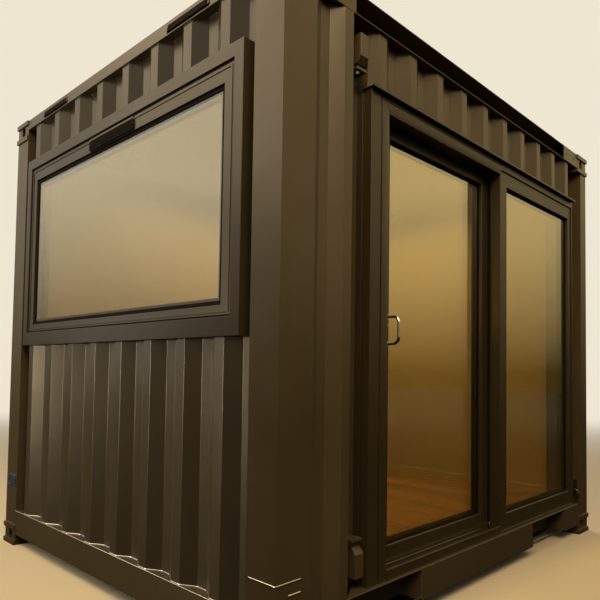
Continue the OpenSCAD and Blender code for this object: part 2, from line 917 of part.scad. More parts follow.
// Flashing on top of the door frame, with a standing drip edge.
module door_flashing() {
  over = 8;
  tip = 1;
  edge = 4;
  stand = 2;
  tail = 5;
  back = strip_inset + side_depth + wall_sheet + tail;
  color(frame_paint) {
    front_block(door_start - over, door_end + over, tip, back,
                door_top, door_top + flashing_plate);
    front_block(door_start - over, door_end + over, tip, tip + edge, door_top - edge,
                door_top + flashing_plate + stand);
  }
}

// A leaf frame of stiles and rails round its glass; the sizes are left stile, right stile,
// bottom rail and top rail.
module leaf_ring(s0, s1, sizes, face, low, high) {
  difference() {
    front_block(s0, s1, face, face + leaf_thickness, low, high);
    front_block(s0 + sizes[0], s1 - sizes[1], face - cut_over,
                face + leaf_thickness + cut_over, low + sizes[2], high - sizes[3]);
  }
}

module leaf_glass(s0, s1, sizes, face, low, high) {
  front_block(s0 + sizes[0], s1 - sizes[1], face + glass_inset,
              face + glass_inset + glass_thickness, low + sizes[2], high - sizes[3]);
}

fixed_sizes = [fixed_stile, fixed_stile_right, fixed_bottom, fixed_top];
fixed_high = door_top - head_slim;

module fixed_leaf_frame() {
  color(frame_paint)
    leaf_ring(fixed_start, fixed_end, fixed_sizes, fixed_face, track_top, fixed_high);
}

module fixed_leaf_glass() {
  color(glass_tint)
    leaf_glass(fixed_start, fixed_end, fixed_sizes, fixed_face, track_top, fixed_high);
}

// The sliding leaf stands on two runner shoes that sit over the ridge of the track.
slide_sizes = [stile, stile_right, leaf_bottom, leaf_top];
shoe = [70, 14];
module sliding_leaf_frame() {
  mid = slide_face + leaf_thickness / 2;
  color(frame_paint) {
    leaf_ring(slide_start, slide_end, slide_sizes, slide_face, leaf_low, leaf_high);
    for (s = [slide_start + stile, slide_end - stile_right - shoe[0]])
      front_block(s, s + shoe[0], mid - shoe[1] / 2, mid + shoe[1] / 2,
                  ridge_top + seat_gap, leaf_low + tiny);
  }
}

module sliding_leaf_glass() {
  color(glass_tint)
    leaf_glass(slide_start, slide_end, slide_sizes, slide_face, leaf_low, leaf_high);
}

// D pull: two arms and a grip of round bar.
pull_bend = 28;
pull_inset = 14;
module door_pull() {
  x = left_end + slide_start + stile - pull_inset;
  face = front_side + slide_face;
  half = pull_height / 2;
  reach = pull_reach - pull_bend;
  color(stainless) translate([x, face, pull_centre]) {
    for (side = [0, 1]) mirror([0, 0, side]) {
      translate([0, 0, half]) rotate([90, 0, 0]) cylinder(h = reach, d = pull_bar);
      translate([0, -reach, half - pull_bend]) mirror([0, 1, 0])
        rotate([0, 0, 90]) rotate([90, 0, 0]) rotate_extrude(angle = 90)
          translate([pull_bend, 0]) circle(d = pull_bar);
    }
    translate([0, -pull_reach, -half + pull_bend])
      cylinder(h = pull_height - 2 * pull_bend, d = pull_bar);
  }
}

// Flush power inlet with a round lid on the foot of the far left post.
inlet_from_corner = 148;
inlet_low = 346;
inlet_plate = [100, 74];
inlet_lid = 56;
module power_inlet() {
  s = container_width - inlet_from_corner;
  proud = 3;
  color(plug_blue) {
    left_block(s, s + inlet_plate[0], casting_lip / 2, casting_lip,
               inlet_low, inlet_low + inlet_plate[1]);
    translate([left_end + casting_lip / 2 - proud, front_side + s + inlet_plate[0] / 2,
               inlet_low + inlet_plate[1] / 2])
      rotate([0, 90, 0]) cylinder(h = proud, d = inlet_lid);
  }
}

// Drilled lug with a ring at the foot of the right post.
module lashing_lug() {
  edge = container_length - casting_lip - post_flange_right;
  lug = [80, 10, 84];
  low = 268;
  bore = 26;
  bore_rise = 34;
  ring = 30;
  bar = 12;
  bite = 0.5;
  face = 40;
  centre = low + bore_rise;
  hang = centre - bore / 2 + bar / 2 - bite - ring;
  color(stainless) {
    difference() {
      front_block(edge - lug[0], edge, face, face + lug[1], low, low + lug[2]);
      translate([left_end + edge - lug[0] / 2, front_side + face - tiny, centre])
        rotate([-90, 0, 0]) cylinder(h = lug[1] + 2 * tiny, d = bore);
    }
    translate([left_end + edge - lug[0] / 2, front_side + face + lug[1] / 2, hang])
      rotate([0, 90, 0]) rotate_extrude() translate([ring, 0]) circle(d = bar);
  }
}

corner_post_front_left();
corner_post_front_right();
corner_post_back_left();
corner_post_back_right();
top_rail_front();
top_rail_back();
top_rail_left();
top_rail_right();
bottom_rail_front();
bottom_rail_back();
bottom_rail_left();
bottom_rail_right();
floor_frame();
floor_deck();
roof_panel();
ceiling_lining();
end_wall_left();
end_wall_right();
back_wall();
front_panel_left();
front_panel_right();
front_panel_top();
lining_left();
lining_right();
lining_back();
lining_front_left();
lining_front_right();
lining_front_top();
window_surround();
window_sash();
window_glass();
door_jamb_left();
door_jamb_right();
door_head();
door_sill();
door_track();
door_flashing();
fixed_leaf_frame();
fixed_leaf_glass();
sliding_leaf_frame();
sliding_leaf_glass();
door_pull();
power_inlet();
lashing_lug();
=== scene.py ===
import json
import math
import random

import bmesh
import bpy
from mathutils import Matrix, Vector


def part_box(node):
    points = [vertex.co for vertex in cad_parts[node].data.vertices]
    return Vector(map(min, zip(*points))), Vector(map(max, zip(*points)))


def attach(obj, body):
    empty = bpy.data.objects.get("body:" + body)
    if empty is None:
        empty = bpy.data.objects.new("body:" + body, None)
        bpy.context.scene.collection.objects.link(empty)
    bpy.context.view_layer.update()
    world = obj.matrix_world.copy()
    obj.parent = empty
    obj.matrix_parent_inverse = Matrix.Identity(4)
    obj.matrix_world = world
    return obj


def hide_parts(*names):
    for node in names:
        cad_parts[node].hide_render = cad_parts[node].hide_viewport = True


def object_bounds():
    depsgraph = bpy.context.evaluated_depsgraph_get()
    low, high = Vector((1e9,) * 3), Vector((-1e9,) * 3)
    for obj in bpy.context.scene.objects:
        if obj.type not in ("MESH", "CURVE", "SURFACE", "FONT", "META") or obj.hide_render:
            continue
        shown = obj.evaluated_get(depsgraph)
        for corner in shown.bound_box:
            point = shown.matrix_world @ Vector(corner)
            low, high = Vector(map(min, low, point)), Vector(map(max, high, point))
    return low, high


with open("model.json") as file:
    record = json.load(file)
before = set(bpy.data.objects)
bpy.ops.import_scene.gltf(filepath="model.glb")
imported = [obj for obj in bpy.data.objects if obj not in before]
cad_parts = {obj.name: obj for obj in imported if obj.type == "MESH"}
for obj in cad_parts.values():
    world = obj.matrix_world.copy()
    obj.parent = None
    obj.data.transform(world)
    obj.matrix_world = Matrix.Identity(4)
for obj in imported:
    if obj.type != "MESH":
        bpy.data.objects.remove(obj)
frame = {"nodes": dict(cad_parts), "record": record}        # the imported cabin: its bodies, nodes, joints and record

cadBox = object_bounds()
record = frame["record"]
bodyOf = {name: body for body, names in record["behaviour"]["bodies"].items() for name in names}
slotOf = {part["node"]: part["material_slot"] for part in record["subparts"]}
print("frame loaded with", len(frame["nodes"]), "nodes")

# Camera, solved from the photograph with the corners of the box; angles in degrees
cameraSet = {
    "place": (-2.884, -2.673, 1.075),
    "yaw": 45.72,        # to the right of +Y
    "pitch": 2.33,       # above the horizon
    "roll": 0.85,
    "lens": 35.56,       # mm, as the width of the sensor
    "sensor": 36,
    "shiftUp": 0.0768,   # the frame sits this share of its width above the optical axis
    "clip": (0.05, 200),
}


def makeCamera(settings):
    yaw, pitch, roll = (math.radians(settings[key]) for key in ("yaw", "pitch", "roll"))
    flat = math.cos(pitch)
    ahead = Vector((math.sin(yaw) * flat, math.cos(yaw) * flat, math.sin(pitch)))
    level = Vector((math.cos(yaw), -math.sin(yaw), 0))
    above = level.cross(ahead)
    right = level * math.cos(roll) + above * math.sin(roll)
    up = above * math.cos(roll) - level * math.sin(roll)
    data = bpy.data.cameras.new("photoCamera")
    data.lens = settings["lens"]
    data.sensor_width = settings["sensor"]
    data.shift_y = settings["shiftUp"]
    data.clip_start, data.clip_end = settings["clip"]
    camera = bpy.data.objects.new("photoCamera", data)
    bpy.context.scene.collection.objects.link(camera)
    camera.matrix_world = Matrix((right, up, -ahead)).transposed().to_4x4()
    camera.location = settings["place"]
    bpy.context.scene.camera = camera


makeCamera(cameraSet)
print("camera placed")


def hexColor(code):   # an sRGB hex value as linear colour
    channels = [int(code[i:i + 2], 16) / 255 for i in (1, 3, 5)]
    linear = [c / 12.92 if c <= 0.04045 else ((c + 0.055) / 1.055) ** 2.4 for c in channels]
    return (*linear, 1.0)


# Adds a shader node; a number names an input by its place, and "stops" fills a colour ramp
def addNode(tree, kind, settings=None, links=None):
    node = tree.nodes.new("ShaderNode" + kind)
    for name, value in (settings or {}).items():
        if name == "stops":
            for stop, (position, color) in zip(node.color_ramp.elements, value):
                stop.position = position
                stop.color = color
        elif isinstance(name, str) and hasattr(node, name):
            setattr(node, name, value)
        else:
            node.inputs[name].default_value = value
    for name, source in (links or {}).items():
        tree.links.new(source, node.inputs[name])
    return node


def newMaterial(name, settings):
    material = bpy.data.materials.new(name)
    material.use_nodes = True
    tree = material.node_tree
    shader = tree.nodes["Principled BSDF"]
    for key, value in settings.items():
        shader.inputs[key].default_value = value
    return material, tree, shader, addNode(tree, "TexCoord").outputs["Object"]


# Two pack polyurethane satin paint sprayed on folded steel: an even sheen with a faint
# peel, broad waves from the welding behind it, rain runs, and a patchy darkening towards the ground
paintSet = {
    "color": "#4c4331",
    "drift": "#443b2a",
    "run": "#524936",
    "grime": "#3b3120",
    "grimeTop": 0.35,     # metres above the ground where the darkening ends
    "grimeMm": 70,
    "roughness": (0.26, 0.36),
    "specular": 0.3,
    "sheenMm": 160,       # patches of more and less gloss
    "driftMm": 620,
    "runMm": 38,
    "runLong": 25,        # how many times longer than wide a rain run is
    "peelMm": 14,         # real peel is about 3 mm, drawn coarser so that it shows
    "waveMm": 210,
}


def makeSatinPaint(settings):
    material, tree, shader, place = newMaterial("satinPaint", {
        "Specular IOR Level": settings["specular"]})
    drift = addNode(tree, "TexNoise", {"Scale": 1000 / settings["driftMm"], "Detail": 4},
                    {"Vector": place})
    base = addNode(tree, "ValToRGB", {"stops": [(0.35, hexColor(settings["color"])),
                                                (0.68, hexColor(settings["drift"]))]},
                   {"Fac": drift.outputs["Fac"]})
    tall = addNode(tree, "Mapping", {"Scale": (1, 1, 1 / settings["runLong"])},
                   {"Vector": place})
    runs = addNode(tree, "TexNoise", {"Scale": 1000 / settings["runMm"], "Detail": 3,
                                      "Roughness": 0.6}, {"Vector": tall.outputs["Vector"]})
    wet = addNode(tree, "MapRange", {"From Min": 0.56, "From Max": 0.74, "To Max": 0.5},
                  {"Value": runs.outputs["Fac"]})
    streaked = addNode(tree, "Mix", {"data_type": "RGBA", 7: hexColor(settings["run"])},
                       {0: wet.outputs["Result"], 6: base.outputs["Color"]})
    parts = addNode(tree, "SeparateXYZ", links={"Vector": place})
    # a patchy darker tone towards the ground, strongest at the foot
    near = addNode(tree, "MapRange", {"From Min": settings["grimeTop"], "From Max": 0.0,
                                      "To Max": 0.7}, {"Value": parts.outputs["Z"]})
    specks = addNode(tree, "TexNoise", {"Scale": 1000 / settings["grimeMm"], "Detail": 6,
                                        "Roughness": 0.65}, {"Vector": place})
    groundDarkened = addNode(tree, "Math", {"operation": "MULTIPLY"},
                    {0: near.outputs["Result"], 1: specks.outputs["Fac"]})
    final = addNode(tree, "Mix", {"data_type": "RGBA", 7: hexColor(settings["grime"])},
                    {0: groundDarkened.outputs["Value"], 6: streaked.outputs[2]})
    tree.links.new(final.outputs[2], shader.inputs["Base Color"])
    sheen = addNode(tree, "TexNoise", {"Scale": 1000 / settings["sheenMm"], "Detail": 5,
                                       "Roughness": 0.6}, {"Vector": place})
    least, most = settings["roughness"]
    rough = addNode(tree, "MapRange", {"To Min": least, "To Max": most},
                    {"Value": sheen.outputs["Fac"]})
    tree.links.new(rough.outputs["Result"], shader.inputs["Roughness"])
    wave = addNode(tree, "TexNoise", {"Scale": 1000 / settings["waveMm"], "Detail": 1},
                   {"Vector": place})
    broad = addNode(tree, "Bump", {"Strength": 0.5, "Distance": 0.003},
                    {"Height": wave.outputs["Fac"]})
    peel = addNode(tree, "TexNoise", {"Scale": 1000 / settings["peelMm"], "Detail": 2},
                   {"Vector": place})
    fine = addNode(tree, "Bump", {"Strength": 0.25, "Distance": 0.0002},
                   {"Height": peel.outputs["Fac"], "Normal": broad.outputs["Normal"]})
    tree.links.new(fine.outputs["Normal"], shader.inputs["Normal"])
    return material


# A finish whose colour and gloss only drift a little over the surface, with one fine grain:
# what most coated, moulded and drawn parts here need
def makeEvenFinish(name, settings):
    material, tree, shader, place = newMaterial(name, {
        "Metallic": settings.get("metallic", 0.0),
        "Specular IOR Level": settings.get("specular", 0.5)})
    stretched = addNode(tree, "Mapping", {"Scale": settings.get("stretch", (1, 1, 1))},
                        {"Vector": place})
    shade = addNode(tree, "TexNoise", {"Scale": 1000 / settings["driftMm"], "Detail": 4},
                    {"Vector": stretched.outputs["Vector"]})
    base = addNode(tree, "ValToRGB", {"stops": [(0.3, hexColor(settings["color"])),
                                                (0.7, hexColor(settings["drift"]))]},
                   {"Fac": shade.outputs["Fac"]})
    tree.links.new(base.outputs["Color"], shader.inputs["Base Color"])
    least, most = settings["roughness"]
    rough = addNode(tree, "MapRange", {"To Min": least, "To Max": most},
                    {"Value": shade.outputs["Fac"]})
    tree.links.new(rough.outputs["Result"], shader.inputs["Roughness"])
    grain = addNode(tree, "TexNoise", {"Scale": 1000 / settings["grainMm"], "Detail": 2},
                    {"Vector": stretched.outputs["Vector"]})
    fine = addNode(tree, "Bump", {"Strength": 0.3, "Distance": settings["grainDeep"]},
                   {"Height": grain.outputs["Fac"]})
    tree.links.new(fine.outputs["Normal"], shader.inputs["Normal"])
    return material


finishSet = {
    # Powder coat on extruded aluminium: smoother, darker and more even than the steel's paint
    "powderCoat": {"color": "#332b1b", "drift": "#2c2516", "roughness": (0.30, 0.38),
                   "specular": 0.32, "driftMm": 500, "grainMm": 9, "grainDeep": 0.00015},
    # Matt emulsion on gypsum board: soft, with the stipple of a roller
    "boardPaint": {"color": "#ac956b", "drift": "#a28b62", "roughness": (0.8, 0.9),
                   "specular": 0.3, "driftMm": 800, "grainMm": 8, "grainDeep": 0.0004},
    # Extruded rubber seal: black, with a dull bloom
    "rubberSeal": {"color": "#0d0c0b", "drift": "#171512", "roughness": (0.8, 0.9),
                   "specular": 0.06, "driftMm": 60, "grainMm": 4, "grainDeep": 0.0001},
    # Aluminium extrusion, clear anodised: a satin metal with drawing lines along its length
    "anodisedAluminium": {"color": "#b5aa98", "drift": "#a39884", "roughness": (0.24, 0.36),
                          "metallic": 1.0, "stretch": (0.05, 1, 1), "driftMm": 40,
                          "grainMm": 2, "grainDeep": 0.00005},
    # Stainless tube polished by belt: near mirror with faint rings
    "polishedStainless": {"color": "#d6d2c8", "drift": "#c2bdb0", "roughness": (0.1, 0.18),
                          "metallic": 1.0, "stretch": (1, 1, 4), "driftMm": 16,
                          "grainMm": 2, "grainDeep": 0.00003},
    # Forged lug and ring, zinc plated and worn: grey with a violet cast
    "zincPlatedSteel": {"color": "#5c4a4c", "drift": "#3c3434", "roughness": (0.3, 0.5),
                        "metallic": 1.0, "driftMm": 48, "grainMm": 12, "grainDeep": 0.0002},
    # Moulded polyamide of a power inlet: blue, with a fine moulded grain
    "mouldedPolyamide": {"color": "#2c3a58", "drift": "#233049", "roughness": (0.25, 0.35),
                         "driftMm": 40, "grainMm": 3, "grainDeep": 0.0001},
}

# Float glass with a warm solar coating: mirrors its surroundings, lets the room show through
glassSet = {
    "tint": "#ece4bf",
    "roughness": 0.0,
    "ior": 2.4,          # plain glass has 1.52; the coating mirrors more
    "waves": 2.2,        # waves of the rollers in a metre
    "waveDeep": 0.0012,
}


def makeFloatGlass(settings):
    tint = hexColor(settings["tint"])
    material, tree, shader, place = newMaterial("floatGlass", {
        "Base Color": tint, "Roughness": settings["roughness"],
        "IOR": settings["ior"], "Transmission Weight": 1.0})
    roller = addNode(tree, "TexNoise", {"Scale": settings["waves"], "Detail": 1},
                     {"Vector": place})
    ripple = addNode(tree, "Bump", {"Strength": 0.15, "Distance": settings["waveDeep"]},
                     {"Height": roller.outputs["Fac"]})
    tree.links.new(ripple.outputs["Normal"], shader.inputs["Normal"])
    clear = addNode(tree, "BsdfTransparent", {"Color": tint})
    ray = addNode(tree, "LightPath")
    mix = addNode(tree, "MixShader", links={"Fac": ray.outputs["Is Shadow Ray"],
                                            1: shader.outputs[0], 2: clear.outputs[0]})
    tree.links.new(mix.outputs[0], tree.nodes["Material Output"].inputs["Surface"])
    return material


# Laminate planks in a warm oak print: long grain along Y, tone from plank to plank
plankSet = {
    "dark": "#5a3816",
    "light": "#b07c40",
    "grainMm": 9,
    "figureMm": 70,
    "stretch": 14,       # how many times longer than wide the grain is
    "apart": 7,          # metres in the print between the darkest plank and the palest
    "tone": 0.34,        # how much a plank's own tone counts beside its grain
}


def makePlankWood(settings):
    material, tree, shader, place = newMaterial("oakLaminate", {
        "Roughness": 0.3, "Specular IOR Level": 0.5})
    tone = addNode(tree, "Attribute", {"attribute_name": "plankTone"}).outputs["Fac"]
    shifted = addNode(tree, "CombineXYZ", links={"Z": tone})
    moved = addNode(tree, "VectorMath", {"operation": "MULTIPLY_ADD",
                                         1: (0, 0, settings["apart"])},
                    {0: shifted.outputs["Vector"], 2: place})
    along = addNode(tree, "Mapping", {"Scale": (1, 1 / settings["stretch"], 1)},
                    {"Vector": moved.outputs["Vector"]})
    grain = addNode(tree, "TexNoise", {"Scale": 1000 / settings["grainMm"], "Detail": 6,
                                       "Roughness": 0.6}, {"Vector": along.outputs["Vector"]})
    figure = addNode(tree, "TexNoise", {"Scale": 1000 / settings["figureMm"], "Detail": 2,
                                        "Distortion": 0.6}, {"Vector": along.outputs["Vector"]})
    both = addNode(tree, "Math", {"operation": "ADD"},
                   {0: grain.outputs["Fac"], 1: figure.outputs["Fac"]})
    toned = addNode(tree, "Math", {"operation": "MULTIPLY_ADD", 1: settings["tone"]},
                    {0: tone, 2: both.outputs["Value"]})
    spread = addNode(tree, "MapRange", {"From Max": 1.5}, {"Value": toned.outputs["Value"]})
    base = addNode(tree, "ValToRGB", {"stops": [(0.5, hexColor(settings["dark"])),
                                                (0.95, hexColor(settings["light"]))]},
                   {"Fac": spread.outputs["Result"]})
    tree.links.new(base.outputs["Color"], shader.inputs["Base Color"])
    pores = addNode(tree, "Bump", {"Strength": 0.2, "Distance": 0.0003},
                    {"Height": grain.outputs["Fac"]})
    tree.links.new(pores.outputs["Normal"], shader.inputs["Normal"])
    return material


finishOf = {"profile_paint": "powderCoat", "lining_board": "boardPaint",
            "gasket_rubber": "rubberSeal", "track_aluminium": "anodisedAluminium",
            "stainless": "polishedStainless", "lashing_steel": "zincPlatedSteel",
            "inlet_plastic": "mouldedPolyamide"}
materials = {slot: makeEvenFinish(name, finishSet[name]) for slot, name in finishOf.items()}
materials["steel_paint"] = makeSatinPaint(paintSet)
materials["glass"] = makeFloatGlass(glassSet)
materials["floor_boards"] = makePlankWood(plankSet)
print("materials made:", len(materials))

# Degrees under which neighbouring faces shade as one, and over which an edge is rounded
pieceSet = {"smooth": 35, "rounded": 40, "steps": 2}


# Makes a finished piece from a bmesh, its place in its mesh, and hands it to its body
def addPiece(name, work, slot, body, replaced=(), rounding=0.0):
    mesh = bpy.data.meshes.new(name)
    work.to_mesh(mesh)
    work.free()
    for face in mesh.polygons:
        face.use_smooth = True
    mesh.set_sharp_from_angle(angle=math.radians(pieceSet["smooth"]))
    mesh.materials.append(materials[slot])
    piece = bpy.data.objects.new(name, mesh)
    bpy.context.scene.collection.objects.link(piece)
    if rounding:
        edges = piece.modifiers.new("roundedEdges", "BEVEL")
        edges.width = rounding
        edges.segments = pieceSet["steps"]
        edges.limit_method = "ANGLE"
        edges.angle_limit = math.radians(pieceSet["rounded"])
    even = piece.modifiers.new("evenShading", "WEIGHTED_NORMAL")
    even.keep_sharp = True
    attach(piece, body)
    for nodeName in replaced:
        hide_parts(nodeName)
    return piece


def addBlock(work, low, high):
    middle = [(a + b) / 2 for a, b in zip(low, high)]
    reach = [b - a for a, b in zip(low, high)]
    shape = Matrix.Translation(middle) @ Matrix.Diagonal((*reach, 1))
    return bmesh.ops.create_cube(work, size=1, matrix=shape)["verts"]


# A drum that stands out towards -X or -Y; place is the middle of its foot
def addDrum(work, place, radius, deep, along, steps=32, topRadius=None):
    angle, axis = (-90, "Y") if along == "x" else (90, "X")
    shape = (Matrix.Translation(place) @ Matrix.Rotation(math.radians(angle), 4, axis)
             @ Matrix.Translation((0, 0, deep / 2)))
    bmesh.ops.create_cone(work, cap_ends=True, segments=steps, radius1=radius,
                          radius2=topRadius or radius, depth=deep, matrix=shape)


# A rectangular ring of one width: low and high are the corners of its outside
def addRing(work, low, high, across, width):
    middle = [(a + b) / 2 for a, b in zip(low, high)]
    middle[across] = low[across]
    columns = [Vector((0, 0, 0)) for i in range(3)]
    for column, i in zip(columns, [i for i in range(3) if i != across]):
        column[i] = high[i] - low[i]
    columns[2][across] = 1
    shape = Matrix.Translation(middle) @ Matrix(columns).transposed().to_4x4()
    made = bmesh.ops.create_grid(work, x_segments=1, y_segments=1, size=0.5, matrix=shape)
    inner = list({face for vert in made["verts"] for face in vert.link_faces})
    ring = bmesh.ops.inset_individual(work, faces=inner, thickness=width,
                                      use_even_offset=True)["faces"]
    bmesh.ops.delete(work, geom=inner, context="FACES")
    lifted = bmesh.ops.extrude_face_region(work, geom=ring)["geom"]
    liftedVerts = [part for part in lifted if isinstance(part, bmesh.types.BMVert)]
    shift = [0, 0, 0]
    shift[across] = high[across] - low[across]
    bmesh.ops.translate(work, verts=liftedVerts, vec=shift)
    bmesh.ops.recalc_face_normals(work, faces=work.faces)


# Folded edges, cast corners and drawn profiles are rounded; widths in metres
edgeSet = {
    "merge": 0.00005,
    "flat": 1.0,          # degrees under which neighbouring faces are one plane
    "sharp": 20.0,        # degrees over which an edge is rounded
    "room": 2.2,          # an edge is rounded if its faces reach this many widths from it
    "steps": 3,
    "widths": {"steel_paint": 0.006, "profile_paint": 0.0022, "lashing_steel": 0.002,
               "lining_board": 0.0015, "track_aluminium": 0.0008},
    # pressed sheet bends more widely than the rails and plates in the same paint
    "folds": {"end_wall_left": 0.011, "end_wall_right": 0.011, "back_wall": 0.011,
              "front_panel_top": 0.009},
}


def faceReach(face, edge):   # how far a face runs away from one of its edges
    start, finish = (v.co for v in edge.verts)
    along = (finish - start).normalized()
    return max(((v.co - start) - along * (v.co - start).dot(along)).length for v in face.verts)


def camelName(text):
    first, *rest = text.split("_")
    return first + "".join(word.capitalize() for word in rest)


def cleanCopy(nodeName, settings):   # a node's mesh, welded and with its flat faces joined
    work = bmesh.new()
    work.from_mesh(frame["nodes"][nodeName].data)
    bmesh.ops.remove_doubles(work, verts=work.verts, dist=settings["merge"])
    bmesh.ops.dissolve_limit(work, angle_limit=math.radians(settings["flat"]),
                             verts=work.verts, edges=work.edges)
    return work


def dressNode(nodeName, settings):
    slot = slotOf[nodeName]
    width = settings["folds"].get(nodeName, settings["widths"][slot])
    sharp = math.radians(settings["sharp"])
    work = cleanCopy(nodeName, settings)
    rounded = []
    for edge in work.edges:
        if len(edge.link_faces) != 2 or edge.calc_face_angle() < sharp:
            continue
        if min(faceReach(face, edge) for face in edge.link_faces) > settings["room"] * width:
            rounded.append(edge)
    if rounded:
        bmesh.ops.bevel(work, geom=rounded, offset=width, offset_type="OFFSET",
                        segments=settings["steps"], profile=0.5, affect="EDGES",
                        clamp_overlap=True, material=-1)
    addPiece(camelName(nodeName), work, slot, bodyOf[nodeName], [nodeName])


for nodeName, node in frame["nodes"].items():
    if slotOf[nodeName] in edgeSet["widths"]:
        dressNode(nodeName, edgeSet)
    elif slotOf[nodeName] == "stainless":   # the pull is round as it is and only gets its metal
        node.data.materials.clear()
        node.data.materials.append(materials["stainless"])
print("nodes dressed")

# Sealed glass units: two panes on a spacer, rubber seals on both sides and a clip-in bead on
# the room side
glazingSet = {
    "pane": 0.004,
    "sealProud": 0.004,
    "innerSeal": 0.007,
    "sealEdge": 0.0012,
    "beadFace": 0.018,
    "beadDeep": 0.010,
    "beadEdge": 0.002,
    # each unit's axis across the glass, the widths of its outer seal and of its spacer, and
    # the spacer's slot: bright in the window, a black warm edge in the door
    "units": {"window_glass": (0, 0.018, 0.030, "track_aluminium"),
              "fixed_leaf_glass": (1, 0.007, 0.013, "gasket_rubber"),
              "sliding_leaf_glass": (1, 0.007, 0.013, "gasket_rubber")},
}


def sliceOf(low, high, across, start, finish):   # the part of a box between two levels
    first, last = list(low), list(high)
    first[across], last[across] = start, finish
    return first, last


def makeGlazing(nodeName, across, outerSeal, spacer, spacerSlot, settings):
    low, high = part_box(nodeName)
    body = bodyOf[nodeName]
    name = camelName(nodeName)
    outside, inside = low[across], high[across]
    outerFace, innerFace = outside + settings["pane"], inside - settings["pane"]
    work = bmesh.new()
    for start, finish in ((outside, outerFace), (innerFace, inside)):
        addBlock(work, *sliceOf(low, high, across, start, finish))
    panes = addPiece(name + "Panes", work, "glass", body, [nodeName])
    proud, edge = settings["sealProud"], settings["sealEdge"]
    beadFoot = inside + proud
    rings = [
        ("Spacer", spacerSlot, outerFace, innerFace, spacer, 0.0),
        ("OuterSeal", "gasket_rubber", outside - proud, outside, outerSeal, edge),
        ("InnerSeal", "gasket_rubber", inside, beadFoot, settings["innerSeal"], edge),
        ("Bead", "profile_paint", beadFoot, beadFoot + settings["beadDeep"],
         settings["beadFace"], settings["beadEdge"]),
    ]
    for part, slot, start, finish, width, rounding in rings:
        work = bmesh.new()
        addRing(work, *sliceOf(low, high, across, start, finish), across, width)
        addPiece(name + part, work, slot, body, rounding=rounding)
    return panes


glassPieces = [makeGlazing(name, *facts, glazingSet)
               for name, facts in glazingSet["units"].items()]
print("glazing made:", len(glassPieces), "units")

# Plank floor: boards along Y on a base, ends staggered by a fixed draw
floorSet = {
    "plank": 0.192,
    "length": 1.29,
    "thick": 0.009,
    "gap": 0.0016,
    "lift": 0.0002,          # keeps the underside of the planks off the face of the base
    "edge": 0.0008,
    "early": (0.1, 0.9),     # shares of a plank that may be cut off at the start of a row
    "draw": 11,
}


def makeFloor(settings):
    low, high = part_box("floor_deck")
    seat = high[2] - settings["thick"]
    work = bmesh.new()
    tone = work.verts.layers.float.new("plankTone")
    addBlock(work, low, (high[0], high[1], seat))
    draw = random.Random(settings["draw"])
    x = low[0]
    while x < high[0] - settings["gap"]:
        y = low[1] - draw.uniform(*settings["early"]) * settings["length"]
        while y < high[1]:
            first = (x, max(y, low[1]), seat + settings["lift"])
            last = (min(x + settings["plank"] - settings["gap"], high[0]),
                    min(y + settings["length"] - settings["gap"], high[1]), high[2])
            if last[1] > first[1] + settings["gap"]:
                shade = draw.random()
                for vert in addBlock(work, first, last):
                    vert[tone] = shade
            y += settings["length"]
        x += settings["plank"]
    addPiece("plankFloor", work, "floor_boards", bodyOf["floor_deck"], ["floor_deck"],
             settings["edge"])


# Skirting boards round the room, with a rounded top edge
skirtingSet = {"tall": 0.065, "thick": 0.012, "edge": 0.004}


def makeSkirting(settings):
    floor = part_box("floor_deck")[1][2]
    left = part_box("lining_left")[1][0]
    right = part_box("lining_right")[0][0]
    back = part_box("lining_back")[0][1]
    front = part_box("lining_front_left")[1][1]
    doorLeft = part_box("lining_front_left")[1][0]
    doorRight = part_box("lining_front_right")[0][0]
    thick, top = settings["thick"], floor + settings["tall"]
    runs = [((left, front, floor), (left + thick, back, top)),
            ((right - thick, front, floor), (right, back, top)),
            ((left + thick, back - thick, floor), (right - thick, back, top)),
            ((left + thick, front, floor), (doorLeft, front + thick, top)),
            ((doorRight, front, floor), (right - thick, front + thick, top))]
    work = bmesh.new()
    for low, high in runs:
        addBlock(work, low, high)
    addPiece("skirtingBoards", work, "lining_board", bodyOf["lining_left"],
             rounding=settings["edge"])


makeFloor(floorSet)
makeSkirting(skirtingSet)
print("floor and skirting made")

# Weld beads: a rippled run of filler along a seam, drawn as a curve and made a mesh
beadSet = {
    "radius": 0.003,
    "step": 0.007,       # length of one ripple
    "ripple": 0.2,       # share of the radius that a ripple adds or takes
    "weakest": 0.4,      # the least ripple's share of the greatest
    "draw": 5,
    "slot": "steel_paint",
}
bareBeadSet = {**beadSet, "draw": 8, "slot": "stainless"}   # ground bright, not painted


def beadFrom(name, work, settings, body):   # work holds only the edges of the seam
    for edge in list(work.edges):
        cuts = int(edge.calc_length() / settings["step"])
        if cuts:
            bmesh.ops.subdivide_edges(work, edges=[edge], cuts=cuts)
    mesh = bpy.data.meshes.new(name)
    work.to_mesh(mesh)
    work.free()
    seam = bpy.data.objects.new(name, mesh)
    bpy.context.scene.collection.objects.link(seam)
    bpy.ops.object.select_all(action="DESELECT")
    seam.select_set(True)
    bpy.context.view_layer.objects.active = seam
    bpy.ops.object.convert(target="CURVE")
    curve = seam.data
    draw = random.Random(settings["draw"])
    for spline in curve.splines:
        for number, point in enumerate(spline.points):
            side = 1 if number % 2 else -1
            point.radius = 1 + settings["ripple"] * side * draw.uniform(settings["weakest"], 1)
    curve.bevel_depth = settings["radius"]
    curve.bevel_resolution = 1
    curve.use_fill_caps = True
    bpy.ops.object.convert(target="MESH")
    for face in seam.data.polygons:
        face.use_smooth = True
    seam.data.materials.clear()
    seam.data.materials.append(materials[settings["slot"]])
    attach(seam, body)


